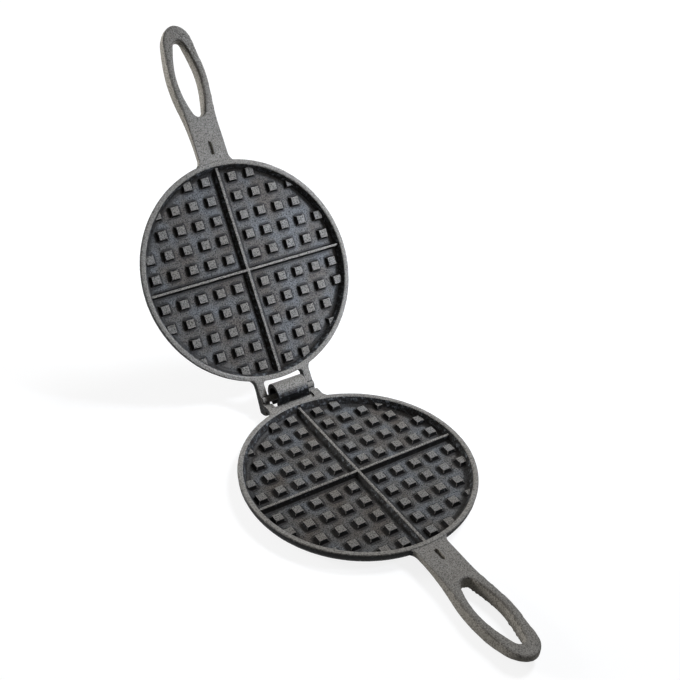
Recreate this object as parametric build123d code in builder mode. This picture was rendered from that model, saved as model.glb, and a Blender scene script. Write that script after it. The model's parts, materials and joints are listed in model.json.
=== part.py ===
from build123d import *
import os
from math import asin, cos, degrees, hypot, radians, sin, sqrt

# Round stovetop waffle iron: two sand-cast iron halves that swing apart on a cast hook hinge.
# Millimetres. X runs along the hinge, the handles point to -Y and the hinge is on +Y, Z is up.
# The origin is the middle of the lower half's back, where the iron stands on the stove.
# The iron stands open: the upper half leans back with its heels against the lower half.

# Pan of each half
rim_radius = 98.0  # outer edge of the rim, where the halves meet
rim_width = 4.3  # flat top of the rim
pan_depth = 7.5  # cooking floor below the rim
wall_lean = 3.8  # how far the pan's inner wall runs in on its way down
floor_bevel = 1.3  # sloped corner between that wall and the floor
half_thickness = 13.0  # rim to back
rim_land = 2.0  # straight outer wall below the rim, before the back rounds off
back_cones = 5  # the back is turned as this many cones, each a chord of its round
rim_edge = 0.6  # broken edges of the rim

# Pegs, which press the pockets of the waffle
peg_pitch = 17.5
peg_offset = 13.0  # first row from the middle of a rib
peg_rows = 5
peg_base = 9.6
peg_height = 3.5
peg_draft = 18.0  # degrees

# Ribs, which divide the waffle into quarters
rib_height = 4.8
rib_top = 2.2
along_rib_base = 7.6  # rib that runs with the handle
cross_rib_base = 5.0  # rib that runs with the hinge

# Handle of each half
handle_length = 122.5  # tip beyond the rim
handle_drop = 0.5  # below the rim, so that the handles never hold the rims apart
handle_thickness = 7.0
neck_width = 29.0
waist_width = 28.6
waist_reach = 30.0  # places along the handle are measured from the rim
grip_width = 34.6
grip_reach = 76.0
tip_radius = 16.0
handle_flare = 8.0  # concave corner between handle and rim
handle_face_edge = 0.7
handle_back_edge = 1.6
slot_width = 21.8
slot_length = 68.0
slot_end_radius = 6.0
slot_end_wall = 13.5  # from the slot to the handle's tip
slot_edge = 0.9
mark_length = 12.0  # small recess at the neck
mark_width = 3.4
mark_depth = 2.4
mark_reach = 12.2

# Hinge
hinge_reach = 14.0  # pivot axis beyond the rim
pivot_rise = 1.0  # pivot axis above the lower half's rim
open_angle = 128.5
bar_radius = 3.3  # crossbar of the upper half
bar_clearance = 0.5  # between crossbar and hook where they are closest
hook_rise = 2.7  # the crossbar hangs low in the hook: middle of the hook above the pivot axis
hook_shift = 1.3  # and nearer the rim
hook_radius = 10.5
hook_width = 30.0
hook_edge = 1.0
mouth_clearance = 0.4  # room beside the crossbar in the hook's mouth
mouth_direction = 250.0  # degrees, from +Y towards +Z
foot_depth = 9.0  # underside of the hook's foot below the rim
channel_depth = 1.5  # hollow between rim and hook
channel_width = 5.5
arm_gap = 38.2  # between the arms, and between the shoulders below them
arms_width = 53.4
arm_thickness = 7.0
arm_flare = 8.0
window_corner = 2.5
shoulder_gap = 6.0  # shoulders end this far short of the pivot axis
stop_clearance = 0.1
heel_clearance = 0.1  # heels above the stove
heel_turn = 42.0  # degrees of the heel's arc behind the arm's line
heel_root = 9.0  # the arm's back starts to thicken this far short of the pivot axis
arm_edge = 0.7

root_bury = 1.0  # roots of handle and arms start this far inside the rim

# Sizes that follow
inner_rim_radius = rim_radius - rim_width
floor_radius = inner_rim_radius - wall_lean
back_round = half_thickness - rim_land
root_middle = rim_radius - rim_width / 2
slot_reach = handle_length - slot_end_wall - slot_length / 2
axis_y = rim_radius + hinge_reach
hook_bore = hypot(hook_rise, hook_shift) + bar_radius + bar_clearance
heel_radius = half_thickness + pivot_rise - heel_clearance
opened = radians(open_angle)

# The heels stop against the lower back edges of the shoulders, which sets how thick those are.
stop_reach = pivot_rise + stop_clearance - sin(opened) * shoulder_gap
shoulder_thickness = stop_reach / cos(opened) - pivot_rise

# Each half is drawn on its own rim plane: +Z out of the cooking side, -Y towards the handle.
pivot = Vector(0, axis_y, half_thickness + pivot_rise)
lower_face = Plane(origin=(0, 0, half_thickness), x_dir=(1, 0, 0), z_dir=(0, 0, 1))
closed_face = Plane(origin=(0, 0, half_thickness), x_dir=(-1, 0, 0), z_dir=(0, 0, -1))
opening_turn = Location(pivot) * Rotation(-open_angle, 0, 0) * Location(-pivot)
upper_face = Plane(opening_turn * closed_face.location)


def across(face):
    """Plane through the middle of a half, square to the handle: X across, Y out of the face."""
    return Plane(origin=face.origin, x_dir=face.x_dir, z_dir=-face.y_dir)


def along(face):
    """Plane through the middle of a half, on the handle's line: X to the hinge, Y out."""
    return Plane(origin=face.origin, x_dir=face.y_dir, z_dir=face.x_dir)


def beyond_rim(face, reach):
    """The rim plane moved out to a place on the handle."""
    middle = face.from_local_coords((0, -rim_radius - reach, 0))
    return Plane(origin=middle, x_dir=face.x_dir, z_dir=face.z_dir)


def root_of(half_width, flare):
    """Ends of the concave corner between the rim and a bar that leaves it on the +Y side."""
    buried = rim_radius - root_bury
    centre_x = half_width + flare
    centre_y = sqrt((buried + flare) ** 2 - centre_x**2)
    share = buried / (buried + flare)
    return (centre_x * share, centre_y * share), (half_width, centre_y)


def flip(point):
    """The same point on the handle's side."""
    return (point[0], -point[1])


def peg_sites():
    """Peg centres: a square grid in each quarter, as far out as the rim."""
    rows = [peg_offset + peg_pitch * row for row in range(peg_rows)]
    return [
        (side_x * x, side_y * y)
        for x in rows
        for y in rows
        for side_x in (-1, 1)
        for side_y in (-1, 1)
        if hypot(x, y) < inner_rim_radius
    ]


def add_handle(face):
    """Flat handle with a long finger slot and a small recess at its neck."""
    on_rim, neck = root_of(neck_width / 2, handle_flare)
    waist = Vector(waist_width / 2, -rim_radius - waist_reach)
    grip = Vector(grip_width / 2, -rim_radius - grip_reach)
    tip = Vector(0, -rim_radius - handle_length)
    # Each side of the grip leaves it parallel to the handle and runs into the tip's arc.
    tip_centre = tip + Vector(0, tip_radius)
    fall = grip.Y - tip_centre.Y
    swell = (grip.X**2 + fall**2 - tip_radius**2) / (2 * (grip.X - tip_radius))
    tip_start = tip_centre + Vector(swell - grip.X, -fall) * (tip_radius / (swell - tip_radius))
    out_of_face = Axis(face.origin, face.z_dir)
    with BuildSketch(face.offset(-handle_drop)) as outline:
        with BuildLine():
            RadiusArc(flip(on_rim), flip(neck), -handle_flare)
            Line(flip(neck), waist)
            bend = TangentArc(waist, (waist + grip) / 2, tangent=(0, -1))
            TangentArc(bend @ 1, grip, tangent=bend % 1)
            TangentArc(grip, tip_start, tangent=(0, -1))
            RadiusArc(tip_start, tip, tip_radius)
            mirror(about=Plane.YZ)
            ThreePointArc((-on_rim[0], -on_rim[1]), (0, -root_middle), flip(on_rim))
        make_face()
    extrude(outline.sketch, amount=-handle_thickness)
    levels = edges().group_by(out_of_face)
    chamfer(levels[-1].sort_by_distance(face.origin)[1:], handle_face_edge)
    levels = edges().group_by(out_of_face)
    chamfer(levels[0].sort_by_distance(face.origin)[1:], handle_back_edge)
    # The slot is an oval of four arcs.
    to_end = slot_length / 2 - slot_end_radius
    side_radius = (to_end**2 + slot_width**2 / 4 - slot_end_radius**2) / (slot_width - 2 * slot_end_radius)
    end_share = slot_end_radius / (side_radius - slot_end_radius)
    shoulder = Vector(0, to_end) + Vector(side_radius - slot_width / 2, to_end) * end_share
    with BuildSketch(beyond_rim(face, slot_reach)) as finger_slot:
        with BuildLine():
            RadiusArc((slot_width / 2, 0), shoulder, -side_radius)
            RadiusArc(shoulder, (0, slot_length / 2), -slot_end_radius)
            mirror(about=Plane.YZ)
            mirror(about=Plane.XZ)
        make_face()
    extrude(finger_slot.sketch, amount=-half_thickness, mode=Mode.SUBTRACT)
    chamfer(edges(Select.LAST).filter_by(face), slot_edge)
    with BuildSketch(beyond_rim(face, mark_reach).offset(-handle_drop)) as mark:
        SlotOverall(mark_length, mark_width, rotation=90)
    extrude(mark.sketch, amount=-mark_depth, mode=Mode.SUBTRACT)


def add_pan(face):
    """Shallow round pan, turned: flat rim, sloped inner wall, and a back that rounds up to the rim."""
    with BuildSketch(across(face)) as section:
        with BuildLine():
            middle = (rim_radius - back_round, -rim_land)
            back = CenterArc(middle, back_round, 0, -90, mode=Mode.PRIVATE)
            Polyline(
                *[back @ (step / back_cones) for step in range(back_cones + 1)],
                (0, -half_thickness),
                (0, -pan_depth),
                (floor_radius, -pan_depth),
                (inner_rim_radius, 0),
                (rim_radius, 0),
                close=True,
            )
        make_face()
        chamfer(vertices().group_by(Axis.Y)[-1], rim_edge)
        floor_ends = vertices().filter_by_position(Axis.Y, -pan_depth, -pan_depth)
        chamfer(floor_ends.sort_by(Axis.X)[-1], floor_bevel)
    revolve(section.sketch, axis=Axis(face.origin, face.z_dir))


def add_pegs(face):
    """Tapered square pegs; the outermost run into the sloped wall."""
    with BuildSketch(face.offset(-pan_depth)) as bases:
        with Locations(*peg_sites()):
            Rectangle(peg_base, peg_base)
        Circle(inner_rim_radius, mode=Mode.INTERSECT)
    extrude(bases.sketch, amount=peg_height, taper=peg_draft)


def add_rib(plane, base):
    """Rib from wall to wall, with a section that narrows to its top."""
    with BuildSketch(plane) as section:
        with Locations((0, -pan_depth)):
            Polygon(
                (-base / 2, 0),
                (base / 2, 0),
                (rib_top / 2, rib_height),
                (-rib_top / 2, rib_height),
                align=None,
            )
    extrude(section.sketch, amount=inner_rim_radius, both=True)


def add_root(face, reach, thickness):
    """Flat plate on the hinge side, with concave corners where it leaves the rim."""
    on_rim, neck = root_of(arms_width / 2, arm_flare)
    with BuildSketch(face) as outline:
        with BuildLine():
            RadiusArc(on_rim, neck, arm_flare)
            Polyline(neck, (arms_width / 2, reach), (0, reach))
            mirror(about=Plane.YZ)
            ThreePointArc((-on_rim[0], on_rim[1]), (0, root_middle), on_rim)
        make_face()
    extrude(outline.sketch, amount=-thickness)


def cut_between_arms(face, start, depth):
    """Cut the gap between the arms, from the given distance outward, with round inner corners."""
    with BuildSketch(face) as gap:
        Rectangle(arm_gap, axis_y + heel_radius, align=(Align.CENTER, Align.MIN))
        Circle(start, mode=Mode.SUBTRACT)
        fillet(vertices().group_by(Axis.Y)[0], window_corner)
    extrude(gap.sketch, amount=-depth, mode=Mode.SUBTRACT)


def add_arms(face):
    """Two arms with heels that stop the swing, and the crossbar that turns in the hook."""
    add_root(face, axis_y, arm_thickness)
    rise = degrees(asin(pivot_rise / heel_radius))
    with BuildSketch(along(face)) as heel:
        with BuildLine():
            sweep_arc = CenterArc((axis_y, -pivot_rise), heel_radius, -heel_turn, heel_turn + rise)
            root = axis_y - heel_root
            Polyline(sweep_arc @ 1, (root, 0), (root, -arm_thickness), sweep_arc @ 0)
        make_face()
    extrude(heel.sketch, amount=arms_width / 2, both=True)
    cut_between_arms(face, rim_radius, half_thickness)
    arms = [edge for edge in edges() if face.to_local_coords(edge.center()).Y > rim_radius]
    chamfer(arms, arm_edge)
    with BuildSketch(along(face)) as crossbar:
        with Locations((axis_y, -pivot_rise)):
            Circle(bar_radius)
    extrude(crossbar.sketch, amount=arms_width / 2 - arm_edge, both=True)


def add_hook(face):
    """Shoulders that the heels stop against, and the hook that holds the crossbar."""
    add_root(face, axis_y - shoulder_gap, shoulder_thickness)
    cut_between_arms(face, rim_radius, channel_depth)
    cut_between_arms(face, rim_radius + channel_width, half_thickness)
    hook_middle = (axis_y - hook_shift, pivot_rise + hook_rise)
    with BuildSketch(along(face)) as section:
        with Locations((inner_rim_radius, -channel_depth)):
            Rectangle(
                hook_middle[0] - bar_radius - inner_rim_radius,
                foot_depth - channel_depth,
                align=(Align.MIN, Align.MAX),
            )
        with Locations(hook_middle):
            Circle(hook_radius)
            Circle(hook_bore, mode=Mode.SUBTRACT)
        with Locations(Location(hook_middle, mouth_direction)):
            Rectangle(
                2 * hook_radius,
                2 * (bar_radius + mouth_clearance),
                align=(Align.MIN, Align.CENTER),
                mode=Mode.SUBTRACT,
            )
    extrude(section.sketch, amount=hook_width / 2, both=True)
    chamfer(edges(Select.LAST).filter_by(GeomType.CIRCLE).group_by(SortBy.RADIUS)[-1], hook_edge)


with BuildPart() as lower_half:
    add_handle(lower_face)
    add_hook(lower_face)
    add_pan(lower_face)
    add_pegs(lower_face)
    add_rib(across(lower_face), along_rib_base)
    add_rib(along(lower_face), cross_rib_base)
lower_half.part.label = "lower_half"

with BuildPart() as upper_half:
    add_handle(upper_face)
    add_arms(upper_face)
    add_pan(upper_face)
    add_pegs(upper_face)
    add_rib(across(upper_face), along_rib_base)
    add_rib(along(upper_face), cross_rib_base)
upper_half.part.label = "upper_half"

os.makedirs("parts", exist_ok=True)
export_step(lower_half.part, "parts/lower_half.step")
export_step(upper_half.part, "parts/upper_half.step")
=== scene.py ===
import json
import math

import bpy
import numpy
from mathutils import Matrix, Vector, kdtree, noise


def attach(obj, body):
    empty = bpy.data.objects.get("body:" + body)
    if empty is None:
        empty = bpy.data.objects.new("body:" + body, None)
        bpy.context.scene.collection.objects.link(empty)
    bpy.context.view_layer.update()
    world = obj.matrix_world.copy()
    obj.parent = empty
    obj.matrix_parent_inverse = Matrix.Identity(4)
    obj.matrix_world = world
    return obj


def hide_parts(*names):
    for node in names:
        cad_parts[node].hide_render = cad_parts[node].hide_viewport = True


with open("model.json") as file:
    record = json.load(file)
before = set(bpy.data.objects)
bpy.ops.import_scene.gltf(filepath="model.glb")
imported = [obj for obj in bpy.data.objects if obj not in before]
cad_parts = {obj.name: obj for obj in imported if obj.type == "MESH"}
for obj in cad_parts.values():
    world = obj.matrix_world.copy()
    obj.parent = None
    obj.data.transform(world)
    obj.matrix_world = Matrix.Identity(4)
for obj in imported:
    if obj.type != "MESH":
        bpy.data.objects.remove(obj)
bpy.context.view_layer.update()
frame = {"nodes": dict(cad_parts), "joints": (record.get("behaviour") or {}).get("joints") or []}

# A round stovetop waffle iron, standing open: two grey-iron castings that turn on a cast hook.
# Lengths are in metres unless a name ends in _MM or _mm.

HINGE = frame["joints"][0]
MM = 0.001
WHITE = (1, 1, 1, 1)


def srgb(hex_colour):
    """A colour written as sRGB hex, as the linear RGBA that sockets take."""
    values = [int(hex_colour[i : i + 2], 16) / 255 for i in (1, 3, 5)]
    linear = [v / 12.92 if v <= 0.04045 else ((v + 0.055) / 1.055) ** 2.4 for v in values]
    return (*linear, 1.0)


def add_node(tree, kind, settings=(), links=()):
    """Adds a node: settings fills its properties or sockets by name, and links feeds sockets."""
    made = tree.nodes.new(kind)
    for name, value in dict(settings).items():
        if hasattr(made, name):
            setattr(made, name, value)
        else:
            made.inputs[name].default_value = value
    for name, source in dict(links).items():
        tree.links.new(source, made.inputs[name])
    return made


def empty_material(name):
    """A material, and its node tree with nothing in it."""
    material = bpy.data.materials.new(name)
    material.use_nodes = True
    material.node_tree.nodes.clear()
    return material, material.node_tree


# ---------------------------------------------------------------- finishes

GRAIN_MM = 1.1  # a mark left by the moulding sand; real grit is a third of this and would not show
PIT_MM = 3.4  # spacing of the small pits that gas leaves
MOTTLE_MM = 24.0  # patches of thicker and thinner seasoning
BUMP_MM = 0.35  # height of pits and grain
RUB_MM = 3.0  # handles and rims, less than this from the parting plane, are rubbed the most
TOUCH_MM = 5.4  # deeper than this, below the tops of the pegs, nothing rubs
# How level a face is: 0 for a wall and 1 for a face that lies flat when the iron is closed.
WALL, SLOPE = 0.34, 0.44  # painted black up to the first, for shade and baked oil; mid-dark with painted sheen specks from the second
STEEP, FLAT = 0.5, 0.9  # not wiped up to the first, where steep faces carry painted shade; wiped clean from the second


def sand_cast_iron():
    """Grey iron cast in sand and seasoned with oil, then wiped.

    Steep faces in the pans and at the hinge are painted near black and matt: painted shade for
    faces turned from the light, and baked oil, with painted glints in their pits. Walls and rib
    sides are mid-dark with a painted bluish sheen in specks. Corners, and a line along the edge of
    each handle's
    face, are painted darker: painted shade, and some soot. Level faces are wiped to a grainy grey
    with a dull sheen. Hands and the other half rub handles, rims and the tops of pegs lighter;
    edges are
    lighter still, for wear and as a painted highlight. The flanks of the handles are the lightest:
    painted light.
    """
    material, tree = empty_material("seasoned_sand_cast_iron")
    place = add_node(tree, "ShaderNodeTexCoord").outputs["Object"]

    def speckle(size_mm, detail, roughness):
        return add_node(
            tree,
            "ShaderNodeTexNoise",
            {"Scale": 1 / (size_mm * MM), "Detail": detail, "Roughness": roughness},
            {"Vector": place},
        ).outputs["Fac"]

    grain = speckle(GRAIN_MM, 2.0, 0.7)
    pits = speckle(PIT_MM, 2.0, 0.5)
    mottle = speckle(MOTTLE_MM, 3.0, 0.55)

    def ramp(source, stops):
        made = add_node(tree, "ShaderNodeValToRGB", links={"Fac": source})
        elements = made.color_ramp.elements
        while len(elements) < len(stops):
            elements.new(0.5)
        for element, (position, colour) in zip(elements, stops):
            element.position = position
            element.color = srgb(colour)
        return made.outputs["Color"]

    def spread(source, low, high, bottom=0.0, top=1.0):
        """Maps low..high smoothly to bottom..top and holds it there beyond."""
        ends = {"From Min": low, "From Max": high, "To Min": bottom, "To Max": top}
        return add_node(
            tree,
            "ShaderNodeMapRange",
            {"interpolation_type": "SMOOTHSTEP", **ends},
            {"Value": source},
        ).outputs["Result"]

    def mix(blend, factor, below, above):
        made = add_node(tree, "ShaderNodeMix", {"data_type": "RGBA", "blend_type": blend})
        for socket, source in (("Factor_Float", factor), ("A_Color", below), ("B_Color", above)):
            target = next(i for i in made.inputs if i.identifier == socket)
            if isinstance(source, (float, tuple)):
                target.default_value = source
            else:
                tree.links.new(source, target)
        return next(o for o in made.outputs if o.identifier == "Result_Color")

    def trace(name):
        """A mark that the casting's skin carries."""
        return add_node(tree, "ShaderNodeAttribute", {"attribute_name": name}).outputs["Fac"]

    level = spread(trace("level"), STEEP, FLAT)
    wiped = ramp(mottle, [(0.36, "#56504a"), (0.5, "#5d5b58"), (0.64, "#646668")])
    # Steep faces: painted shade, near black whatever the light falls on them, and baked oil; high
    # pits get painted glints.
    steep_shade_and_glints = ramp(pits, [(0.45, "#030303"), (0.62, "#101214"), (0.74, "#47484a")])
    # Walls and rib sides: mid-dark, with a painted bluish sheen in specks.
    sloped_with_sheen_specks = ramp(pits, [(0.4, "#24211f"), (0.58, "#424446"), (0.68, "#707376")])
    steep = mix("MIX", spread(trace("level"), WALL, SLOPE), steep_shade_and_glints, sloped_with_sheen_specks)
    cast = mix("MIX", level, steep, wiped)
    # Corners and the edge lines of the handles' faces are darkened: painted shade, and some soot.
    soot_and_corner_shade = spread(trace("hollow"), 0.08, 0.5, 0.0, 0.75)
    with_soot_and_corner_shade = mix("MIX", soot_and_corner_shade, cast, srgb("#120f0c"))
    rub = spread(trace("depth_mm"), RUB_MM, TOUCH_MM, 0.8, 0.0)
    rubbed = mix("MIX", rub, with_soot_and_corner_shade, srgb("#8e8a83"))
    top = mix("MIX", level, with_soot_and_corner_shade, rubbed)
    # Edges lighter: wear, and a painted highlight.
    wear_and_highlight = spread(trace("proud"), 0.3, 1.0, 0.0, 0.5)
    with_wear_and_highlight = mix("MIX", wear_and_highlight, top, srgb("#8f8a84"))
    # The handles' flanks are painted lighter: painted light.
    with_lit_flank = mix("MIX", spread(trace("lit_flank"), 0.4, 0.6), with_wear_and_highlight, srgb("#aaa59c"))
    sand = ramp(grain, [(0.34, "#4e4e4d"), (0.47, "#c6c5c3"), (0.66, "#ffffff")])
    sandiness = spread(trace("depth_mm"), 0.0, RUB_MM, 0.8, 1.0)
    body = mix("MULTIPLY", sandiness, with_lit_flank, sand)

    relief = add_node(tree, "ShaderNodeMath", {"operation": "MULTIPLY_ADD"}, {0: pits, 2: grain})
    relief.inputs[1].default_value = 0.8  # pits next to grain
    bump = add_node(
        tree,
        "ShaderNodeBump",
        {"Strength": 0.7, "Distance": BUMP_MM * MM},
        {"Height": relief.outputs["Value"]},
    )
    surface = add_node(
        tree,
        "ShaderNodeBsdfPrincipled",
        {"Metallic": 0.0, "IOR": 1.5, "Specular IOR Level": 0.12},
        {
            "Base Color": body,
            "Roughness": spread(trace("level"), STEEP, FLAT, 0.6, 0.5),
            "Normal": bump.outputs["Normal"],
        },
    )
    add_node(tree, "ShaderNodeOutputMaterial", links={"Surface": surface.outputs["BSDF"]})
    return material


# ---------------------------------------------------------------- castings

SKIN_CELL_MM = 1.02  # grid on which a casting's skin is laid
SKIN_DEPTH = 9  # halvings of the grid
CREASE_DEGREES = 38  # a sharper turn between two faces reads as an edge
SOFTENING = 0.3  # how far edges are rounded, as the sand leaves them
WARP_MM = 9.0  # width of the slow unevenness of a sand mould
WARP_DEPTH_MM = 0.16
RIPPLE_MM = 2.4
RIPPLE_DEPTH_MM = 0.16
PROUD_MM = 0.25  # an edge this far above the surface around it is lightened fully, for wear and as a painted highlight
HOLLOW_MM = 0.5  # a corner this far below the surface around it is darkened fully: painted shade, and some soot
HOLLOW_STEPS = 8  # how many cells around a point count as its surroundings
PARTING_MM = 13.0  # height of the plane in which the closed halves meet
RIM_RADIUS_MM = 98.0

# The handles: places are measured outwards from the rim.
FACE_DROP_MM = 0.5  # their faces lie this far from the parting plane
BACK_DEPTH_MM = 7.0  # and their backs lie this far behind the faces at the neck
GRIP_FROM_MM, GRIP_TO_MM = 10.0, 60.0  # the back rises from the neck to its fullest
GRIP_GAIN = 0.7  # and is then this share thicker
TIP_FROM_MM, TIP_TO_MM = 88.0, 122.5  # and comes down again to the neck's thickness
TAPER_FROM_MM, TAPER_TO_MM = 72.0, 122.0  # the handle narrows
TAPER = 0.17
LEAN_MM = 1.7  # the walls lean out this far towards the back
LEAN_WIDTH_MM = 3.0  # and take this much of the back along
LEAN_FROM_MM, LEAN_TO_MM = 106.0, 118.0  # and stand straight again at the tip
EDGE_DROP_MM = 0.4  # the face rounds down to its edges
EDGE_WIDTH_MM = 1.5
SHADE_LINE_MM, SHADE_LINE_WIDTH_MM = 0.7, 0.5  # a painted shade line runs along the edge of the face, where it rounds off
SHADE_LINE_STRENGTH = 2  # so strong that the painted line stays black right across
WALL_NORMAL = 0.5  # a wall's normal rises less than this
FLANK_NORMAL = 0.6  # and a flank's less than this, with part of its rounded edge; flanks are painted lighter as if lit


def laid_flat(body):
    """The turn that brings a body from rest to the closed iron, where its faces are level."""
    if body != HINGE["child"]:
        return Matrix.Identity(4)
    centre = Matrix.Translation(Vector(HINGE["pos_m"]))
    turn = Matrix.Rotation(math.radians(HINGE["range_deg"][1]), 4, Vector(HINGE["axis"]))
    return centre @ turn @ centre.inverted()


def read(collection, name, width, kind=numpy.float32):
    """One property of all the elements, as an array with a row for each."""
    values = numpy.empty(len(collection) * width, kind)
    collection.foreach_get(name, values)
    return values.reshape(-1, width)


def gathered(keys, values, count):
    """Sums the rows of values that share a key."""
    return numpy.stack([numpy.bincount(keys, column, count) for column in values.T], axis=1)


def mark(mesh, name, domain, values, kind="FLOAT"):
    """Writes values on a mesh under a name, for the finish to read."""
    mesh.attributes.new(name, kind, domain).data.foreach_set("value", values)


def smooth_step(values, low, high):
    """0 up to low, 1 from high, and smooth between."""
    share = numpy.clip((values - low) / (high - low), 0, 1)
    return share * share * (3 - 2 * share)


def fill_grip(points, normals, backward):
    """Gives a handle its grip, and tells how far each point is from a wall and how far in the grip.

    The back swells in the hand and thins at the tip, the walls lean out towards the back, and the
    face rounds off towards them. backward is 1 where the back lies above the face, or else -1.
    """
    places = points[:, :2] / MM
    reach = -places[:, 1] - RIM_RADIUS_MM
    below = backward * (points[:, 2] / MM - PARTING_MM) - FACE_DROP_MM
    handle = numpy.flatnonzero(reach > 0)
    walls = numpy.flatnonzero((reach > 0) & (abs(normals[:, 2]) < WALL_NORMAL))
    tree = kdtree.KDTree(len(walls))
    for wall in walls:
        tree.insert((*places[wall], 0), wall)
    tree.balance()
    nearest = numpy.array([tree.find((*place, 0))[1:] for place in places[handle]])
    outward = normals[nearest[:, 0].astype(int), :2]
    from_wall = numpy.full(len(points), numpy.inf)
    from_wall[handle] = nearest[:, 1]

    grip = smooth_step(reach, GRIP_FROM_MM, GRIP_TO_MM)
    tip = smooth_step(reach, TIP_FROM_MM, TIP_TO_MM)
    lean = LEAN_MM * (grip * (1 - smooth_step(reach, LEAN_FROM_MM, LEAN_TO_MM)))
    lean = lean * below / BACK_DEPTH_MM * (1 - smooth_step(from_wall, 0, LEAN_WIDTH_MM))
    points[handle, :2] += outward * lean[handle, None] * MM
    drop = EDGE_DROP_MM * grip * (1 - smooth_step(from_wall, 0, EDGE_WIDTH_MM))
    below = drop + below * (1 - drop / BACK_DEPTH_MM)
    below *= 1 + GRIP_GAIN * grip * (1 - tip)
    points[handle, 2] = (PARTING_MM + backward * (FACE_DROP_MM + below[handle])) * MM
    points[:, 0] *= 1 - TAPER * smooth_step(reach, TAPER_FROM_MM, TAPER_TO_MM)
    return from_wall, grip


def casting(node, body, finish):
    """A casting's skin over its CAD node: as sand leaves it, no edge is sharp and no face flat."""
    flat = laid_flat(body)
    mesh = frame["nodes"][node].data.copy()
    mesh.transform(flat)
    piece = bpy.data.objects.new(f"{body}_casting", mesh)
    bpy.context.scene.collection.objects.link(piece)
    bpy.context.view_layer.update()

    grid = piece.modifiers.new("skin", "REMESH")
    grid.mode = "SHARP"
    grid.octree_depth = SKIN_DEPTH
    grid.scale = max(piece.dimensions) / (SKIN_CELL_MM * MM * 2**SKIN_DEPTH)
    bpy.context.view_layer.update()
    shaped = piece.evaluated_get(bpy.context.evaluated_depsgraph_get())
    skin = bpy.data.meshes.new_from_object(shaped)
    piece.modifiers.clear()
    piece.data = skin

    points = read(skin.vertices, "co", 3)
    normals = read(skin.vertices, "normal", 3)
    faces = read(skin.polygons, "normal", 3)
    ends = read(skin.edges, "vertices", 2, numpy.int32)
    sides = read(skin.loops, "edge_index", 1, numpy.int32)[:, 0]
    owners = numpy.repeat(
        numpy.arange(len(skin.polygons)), read(skin.polygons, "loop_total", 1, numpy.int32)[:, 0]
    )
    both = numpy.concatenate([ends[:, 0], ends[:, 1]])
    others = numpy.concatenate([ends[:, 1], ends[:, 0]])
    degree = numpy.bincount(both, minlength=len(points))[:, None]

    def blurred(values):
        return gathered(both, values[others], len(points)) / degree

    # Level faces and the whole handle are wiped, and the other steep faces aren't: these carry
    # painted shade. All that lies beyond the rims, handle and hinge, is rubbed by hands.
    middles = read(skin.polygons, "center", 3) / MM
    on_handle = middles[:, 1] < -RIM_RADIUS_MM
    mark(skin, "level", "FACE", numpy.where(on_handle, 1, abs(faces[:, 2])).astype(numpy.float32))
    # A handle's flanks are painted lighter: painted light falling from the left.
    lit_flank = on_handle & (abs(faces[:, 2]) < FLANK_NORMAL)
    mark(skin, "lit_flank", "FACE", lit_flank.astype(numpy.float32))
    beyond = abs(middles[:, 1]) > RIM_RADIUS_MM
    depth = numpy.where(beyond, 0, abs(middles[:, 2] - PARTING_MM))
    mark(skin, "depth_mm", "FACE", depth.astype(numpy.float32))
    bend = numpy.linalg.norm(gathered(sides, faces[owners], len(ends)), axis=1) / 2
    mark(skin, "sharp_edge", "EDGE", bend < math.cos(math.radians(CREASE_DEGREES / 2)), "BOOLEAN")

    from_wall, grip = fill_grip(points, normals, 1 if body == HINGE["child"] else -1)
    around = blurred(points)
    softened = points + (around - points) * SOFTENING
    # proud sets the lighter edges: wear, and a painted highlight.
    proud = ((points - around) * normals).sum(axis=1) / (PROUD_MM * MM)
    # hollow sets the painted shade in corners, with some soot.
    for _ in range(HOLLOW_STEPS - 1):
        around = blurred(around)
    hollow = ((around - points) * normals).sum(axis=1) / (HOLLOW_MM * MM)
    # A painted shade line along the edge of each handle's face.
    line = numpy.exp(-(((from_wall - SHADE_LINE_MM) / SHADE_LINE_WIDTH_MM) ** 2))
    edge_shade_line = SHADE_LINE_STRENGTH * grip * (abs(normals[:, 2]) > WALL_NORMAL) * line
    proud = numpy.where(abs(points[:, 1]) / MM > RIM_RADIUS_MM, 0, proud)
    mark(skin, "proud", "POINT", proud.astype(numpy.float32))
    mark(skin, "hollow", "POINT", numpy.maximum(hollow, edge_shade_line).astype(numpy.float32))

    warp, ripple = 1 / (WARP_MM * MM), 1 / (RIPPLE_MM * MM)
    sunk = numpy.array(
        [
            WARP_DEPTH_MM * (noise.noise(Vector(p) * warp) - 1)
            + RIPPLE_DEPTH_MM * (noise.noise(Vector(p) * ripple) - 1)
            for p in softened
        ]
    )
    softened += normals * (sunk * MM / 2)[:, None]
    skin.vertices.foreach_set("co", softened.astype(numpy.float32).ravel())
    skin.transform(flat.inverted())
    skin.shade_smooth()
    skin.materials.clear()
    skin.materials.append(finish)

    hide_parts(node)
    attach(piece, body)
    return piece


# ---------------------------------------------------------------- studio

CAMERA_PLACE = Vector((-0.42832, -0.57332, 0.64927))
CAMERA_RIGHT = Vector((0.83815, -0.54300, 0.05157))
CAMERA_UP = Vector((0.28109, 0.51103, 0.81230))
CAMERA_LENS_MM = 62.07


def add_camera():
    """The camera, at the height of someone who stands at the table."""
    data = bpy.data.cameras.new("camera")
    data.sensor_width = 36
    data.lens = CAMERA_LENS_MM
    data.clip_start, data.clip_end = 0.01, 20
    camera = bpy.data.objects.new("camera", data)
    bpy.context.scene.collection.objects.link(camera)
    back = CAMERA_RIGHT.cross(CAMERA_UP)
    turn = Matrix((CAMERA_RIGHT, CAMERA_UP, back)).transposed()
    camera.matrix_world = Matrix.Translation(CAMERA_PLACE) @ turn.to_4x4()
    bpy.context.scene.camera = camera


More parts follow.
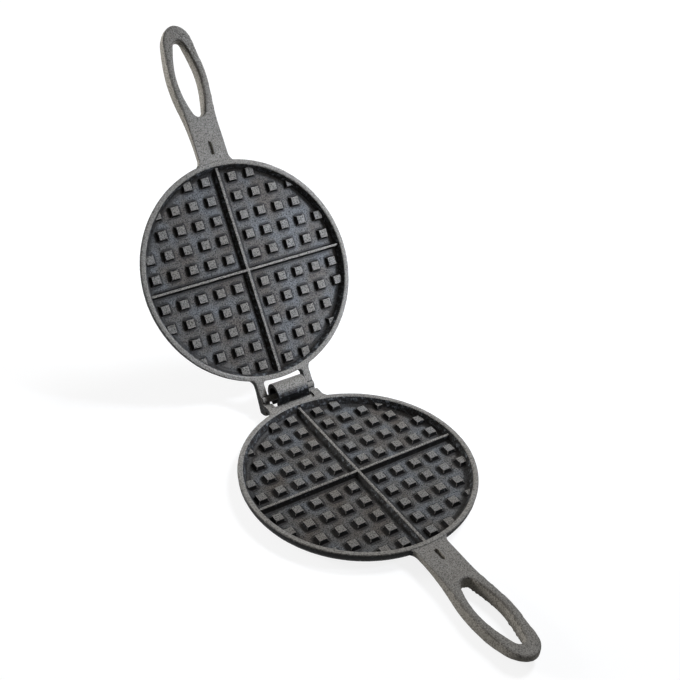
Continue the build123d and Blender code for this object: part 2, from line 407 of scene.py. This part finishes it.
def add_lamp(name, place, aim, size, power, colour, spread_degrees=180):
    """A square soft box."""
    data = bpy.data.lights.new(name, "AREA")
    data.shape = "RECTANGLE"
    data.size, data.size_y = size
    data.energy = power
    data.color = srgb(colour)[:3]
    data.spread = math.radians(spread_degrees)
    lamp = bpy.data.objects.new(name, data)
    bpy.context.scene.collection.objects.link(lamp)
    lamp.location = place
    lamp.rotation_euler = (Vector(aim) - Vector(place)).to_track_quat("-Z", "Y").to_euler()


TABLE_REACH = 6.0
PAPER_GLOW = 0.84  # added to the paper's own tone for the camera, which makes it white
ROOM_STRENGTH = 0.09


def seen_as(tree, seen, lit):
    """The first shader for the camera, also by way of gloss or glass, and the second for light."""
    path = add_node(tree, "ShaderNodeLightPath").outputs
    looked = path["Is Camera Ray"]
    for ray in ("Is Glossy Ray", "Is Transmission Ray"):
        looked = add_node(
            tree, "ShaderNodeMath", {"operation": "MAXIMUM"}, {0: looked, 1: path[ray]}
        ).outputs["Value"]
    pick = add_node(tree, "ShaderNodeMixShader", links={0: looked, 1: lit, 2: seen})
    return pick.outputs["Shader"]


def white_paper():
    """Matt white table paper: the camera sees it as white, with the object's soft shadow on it."""
    material, tree = empty_material("white_table_paper")
    paper = add_node(tree, "ShaderNodeBsdfDiffuse", {"Color": srgb("#808080")})
    glow = add_node(tree, "ShaderNodeEmission", {"Color": WHITE, "Strength": PAPER_GLOW})
    both = add_node(
        tree, "ShaderNodeAddShader", links={0: paper.outputs["BSDF"], 1: glow.outputs["Emission"]}
    )
    shown = seen_as(tree, both.outputs["Shader"], paper.outputs["BSDF"])
    add_node(tree, "ShaderNodeOutputMaterial", links={"Surface": shown})
    return material


def add_table():
    """A wide white table under the iron."""
    mesh = bpy.data.meshes.new("table")
    turns = ((-1, -1), (1, -1), (1, 1), (-1, 1))
    corners = [(x * TABLE_REACH, y * TABLE_REACH, 0) for x, y in turns]
    mesh.from_pydata(corners, [], [(0, 1, 2, 3)])
    mesh.materials.append(white_paper())
    table = bpy.data.objects.new("table", mesh)
    bpy.context.scene.collection.objects.link(table)


def light_studio():
    """A dim white room with four soft boxes.

    The key stands high on the right, a small one lights the hinge's right, one the left flanks of
    the handles, and one stands low behind.
    """
    bpy.context.scene.view_settings.view_transform = "Standard"
    world = bpy.data.worlds.new("studio")
    bpy.context.scene.world = world
    world.use_nodes = True
    tree = world.node_tree
    tree.nodes.clear()
    room = add_node(tree, "ShaderNodeBackground", {"Color": WHITE, "Strength": ROOM_STRENGTH})
    backdrop = add_node(tree, "ShaderNodeBackground", {"Color": WHITE, "Strength": PAPER_GLOW})
    shown = seen_as(tree, backdrop.outputs["Background"], room.outputs["Background"])
    add_node(tree, "ShaderNodeOutputWorld", links={"Surface": shown})
    add_lamp("key", (1.28, 0.3, 1.57), (0, 0.1, 0.05), (0.5, 0.5), 32, "#f4f8ff")
    add_lamp("side", (0.6, -0.3, 0.6), (0.12, 0.17, 0.09), (0.2, 0.2), 1.0, "#e9f1ff", 45)
    add_lamp("left", (-1.2, 1.2, 0.5), (0, 0.28, 0.2), (0.5, 0.5), 20, "#ffffff")
    add_lamp("back", (-0.5, 1.8, 0.5), (0, 0.1, 0.1), (1.2, 1.2), 8, "#ffffff")


iron = sand_cast_iron()
casting("lower_half", "lower", iron)
casting("upper_half", "upper", iron)
add_camera()
light_studio()
add_table()
